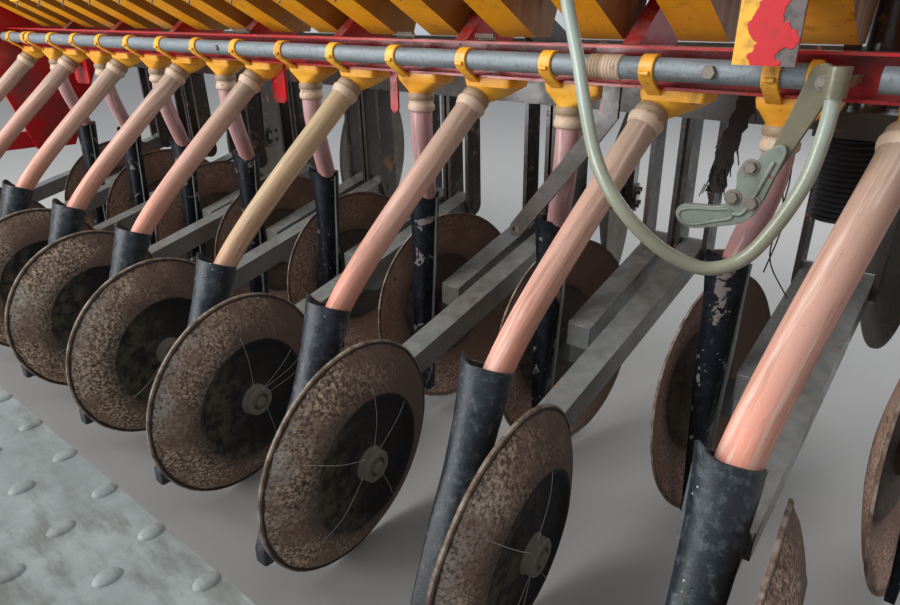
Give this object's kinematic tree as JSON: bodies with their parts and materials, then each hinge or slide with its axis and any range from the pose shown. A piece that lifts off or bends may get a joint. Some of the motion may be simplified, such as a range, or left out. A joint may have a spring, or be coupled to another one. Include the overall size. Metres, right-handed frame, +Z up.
{
  "type": "seed drill coulter bank",
  "caption": "Two-rank single-disc coulter bank of a seed drill: carrying beam, feed rail, funnels, seed tubes, boots, sprung-arm discs and a row of soil discs ahead.",
  "frame": {"origin": "middle of the top face of the carrying beam's centre pad, where the bank bolts up to the drill", "axes": "+X along the beam, +Y forward in the direction of travel, +Z up"},
  "size_m": [2.313, 1.6505, 0.8458],
  "materials": {
    "red_paint": "worn gloss paint",
    "yellow_plastic": "satin moulded plastic",
    "rail_steel": "weathered zinc plate",
    "cuff_rubber": "soft moulded plastic",
    "tube_pink": "faded translucent plastic",
    "tube_mauve": "faded translucent plastic",
    "boot_black": "scuffed moulded plastic",
    "arm_steel": "dull worn paint",
    "disc_rust": "rusty steel",
    "soil_rust": "rusty, dusty steel",
    "tread_steel": "weathered raised-pattern plate",
    "hose_clear": "cloudy clear hose",
    "lever_paint": "dull paint",
    "bellows_rubber": "ribbed rubber"
  },
  "bodies": {
    "root": {"frame_beam": "red_paint", "end_plates": "red_paint", "frame_posts": "red_paint", "rail_channel": "red_paint", "rail": "rail_steel", "ring_clamps": "yellow_plastic", "meter_tray": "red_paint", "meter_housings": "yellow_plastic", "funnels_straight": "yellow_plastic", "funnels_angled": "yellow_plastic", "hose_collars": "cuff_rubber", "seed_tubes_rear": "tube_pink", "seed_tubes_front": "tube_mauve", "boots_rear": "boot_black", "boots_front": "boot_black", "arms_rear": "arm_steel", "arms_front": "arm_steel", "disc_carriers_rear": "arm_steel", "disc_carriers_front": "arm_steel", "coulter_beam": "arm_steel", "arm_pivots": "arm_steel", "beam_hangers": "arm_steel", "soil_beam": "arm_steel", "soil_shanks": "arm_steel", "tread_board": "tread_steel", "tread_brackets": "red_paint", "rail_lever": "lever_paint", "guide_bar": "rail_steel", "clear_hose": "hose_clear", "hose_fittings": "rail_steel", "side_beam": "arm_steel", "bellows": "bellows_rubber"},
    "disc_rear_1_body": {"disc_rear_1": "disc_rust"},
    "disc_rear_2_body": {"disc_rear_2": "disc_rust"},
    "disc_rear_3_body": {"disc_rear_3": "disc_rust"},
    "disc_rear_4_body": {"disc_rear_4": "disc_rust"},
    "disc_rear_5_body": {"disc_rear_5": "disc_rust"},
    "disc_rear_6_body": {"disc_rear_6": "disc_rust"},
    "disc_rear_7_body": {"disc_rear_7": "disc_rust"},
    "disc_rear_8_body": {"disc_rear_8": "disc_rust"},
    "disc_rear_9_body": {"disc_rear_9": "disc_rust"},
    "disc_front_1_body": {"disc_front_1": "disc_rust"},
    "disc_front_2_body": {"disc_front_2": "disc_rust"},
    "disc_front_3_body": {"disc_front_3": "disc_rust"},
    "disc_front_4_body": {"disc_front_4": "disc_rust"},
    "disc_front_5_body": {"disc_front_5": "disc_rust"},
    "disc_front_6_body": {"disc_front_6": "disc_rust"},
    "disc_front_7_body": {"disc_front_7": "disc_rust"},
    "disc_front_8_body": {"disc_front_8": "disc_rust"},
    "disc_front_9_body": {"disc_front_9": "disc_rust"},
    "soil_disc_1_body": {"soil_disc_1": "soil_rust"},
    "soil_disc_2_body": {"soil_disc_2": "soil_rust"},
    "soil_disc_3_body": {"soil_disc_3": "soil_rust"},
    "soil_disc_4_body": {"soil_disc_4": "soil_rust"}
  },
  "joints": [
    {"name": "disc_rear_1_spin", "type": "hinge", "parent": "root", "child": "disc_rear_1_body", "pos_m": [-1.0635, -0.422, -0.686], "axis": [0.9956, 0.0871, -0.0349], "continuous": true},
    {"name": "disc_rear_2_spin", "type": "hinge", "parent": "root", "child": "disc_rear_2_body", "pos_m": [-0.8135, -0.422, -0.686], "axis": [0.9956, 0.0871, -0.0349], "continuous": true},
    {"name": "disc_rear_3_spin", "type": "hinge", "parent": "root", "child": "disc_rear_3_body", "pos_m": [-0.5635, -0.422, -0.686], "axis": [0.9956, 0.0871, -0.0349], "continuous": true},
    {"name": "disc_rear_4_spin", "type": "hinge", "parent": "root", "child": "disc_rear_4_body", "pos_m": [-0.3135, -0.422, -0.686], "axis": [0.9956, 0.0871, -0.0349], "continuous": true},
    {"name": "disc_rear_5_spin", "type": "hinge", "parent": "root", "child": "disc_rear_5_body", "pos_m": [-0.0635, -0.422, -0.686], "axis": [0.9956, 0.0871, -0.0349], "continuous": true},
    {"name": "disc_rear_6_spin", "type": "hinge", "parent": "root", "child": "disc_rear_6_body", "pos_m": [0.1865, -0.422, -0.686], "axis": [0.9956, 0.0871, -0.0349], "continuous": true},
    {"name": "disc_rear_7_spin", "type": "hinge", "parent": "root", "child": "disc_rear_7_body", "pos_m": [0.4365, -0.422, -0.686], "axis": [0.9956, 0.0871, -0.0349], "continuous": true},
    {"name": "disc_rear_8_spin", "type": "hinge", "parent": "root", "child": "disc_rear_8_body", "pos_m": [0.6865, -0.422, -0.686], "axis": [0.9956, 0.0871, -0.0349], "continuous": true},
    {"name": "disc_rear_9_spin", "type": "hinge", "parent": "root", "child": "disc_rear_9_body", "pos_m": [0.9365, -0.422, -0.686], "axis": [0.9956, 0.0871, -0.0349], "continuous": true},
    {"name": "disc_front_1_spin", "type": "hinge", "parent": "root", "child": "disc_front_1_body", "pos_m": [-0.9835, -0.002, -0.657], "axis": [0.9816, -0.1467, 0.1219], "continuous": true},
    {"name": "disc_front_2_spin", "type": "hinge", "parent": "root", "child": "disc_front_2_body", "pos_m": [-0.7335, -0.002, -0.657], "axis": [0.9816, -0.1467, 0.1219], "continuous": true},
    {"name": "disc_front_3_spin", "type": "hinge", "parent": "root", "child": "disc_front_3_body", "pos_m": [-0.4835, -0.002, -0.657], "axis": [0.9816, -0.1467, 0.1219], "continuous": true},
    {"name": "disc_front_4_spin", "type": "hinge", "parent": "root", "child": "disc_front_4_body", "pos_m": [-0.2335, -0.002, -0.657], "axis": [0.9816, -0.1467, 0.1219], "continuous": true},
    {"name": "disc_front_5_spin", "type": "hinge", "parent": "root", "child": "disc_front_5_body", "pos_m": [0.0165, -0.002, -0.657], "axis": [0.9816, -0.1467, 0.1219], "continuous": true},
    {"name": "disc_front_6_spin", "type": "hinge", "parent": "root", "child": "disc_front_6_body", "pos_m": [0.2665, -0.002, -0.657], "axis": [0.9816, -0.1467, 0.1219], "continuous": true},
    {"name": "disc_front_7_spin", "type": "hinge", "parent": "root", "child": "disc_front_7_body", "pos_m": [0.5165, -0.002, -0.657], "axis": [0.9816, -0.1467, 0.1219], "continuous": true},
    {"name": "disc_front_8_spin", "type": "hinge", "parent": "root", "child": "disc_front_8_body", "pos_m": [0.7665, -0.002, -0.657], "axis": [0.9816, -0.1467, 0.1219], "continuous": true},
    {"name": "disc_front_9_spin", "type": "hinge", "parent": "root", "child": "disc_front_9_body", "pos_m": [1.0165, -0.002, -0.657], "axis": [0.9816, -0.1467, 0.1219], "continuous": true},
    {"name": "soil_disc_1_spin", "type": "hinge", "parent": "root", "child": "soil_disc_1_body", "pos_m": [-0.8475, 0.41, -0.5], "axis": [0.9563, 0.2924, 0], "continuous": true},
    {"name": "soil_disc_2_spin", "type": "hinge", "parent": "root", "child": "soil_disc_2_body", "pos_m": [-0.3475, 0.41, -0.5], "axis": [0.9563, 0.2924, 0], "continuous": true},
    {"name": "soil_disc_3_spin", "type": "hinge", "parent": "root", "child": "soil_disc_3_body", "pos_m": [0.4025, 0.41, -0.5], "axis": [0.9563, 0.2924, 0], "continuous": true},
    {"name": "soil_disc_4_spin", "type": "hinge", "parent": "root", "child": "soil_disc_4_body", "pos_m": [0.9025, 0.41, -0.5], "axis": [0.9563, 0.2924, 0], "continuous": true}
  ]
}
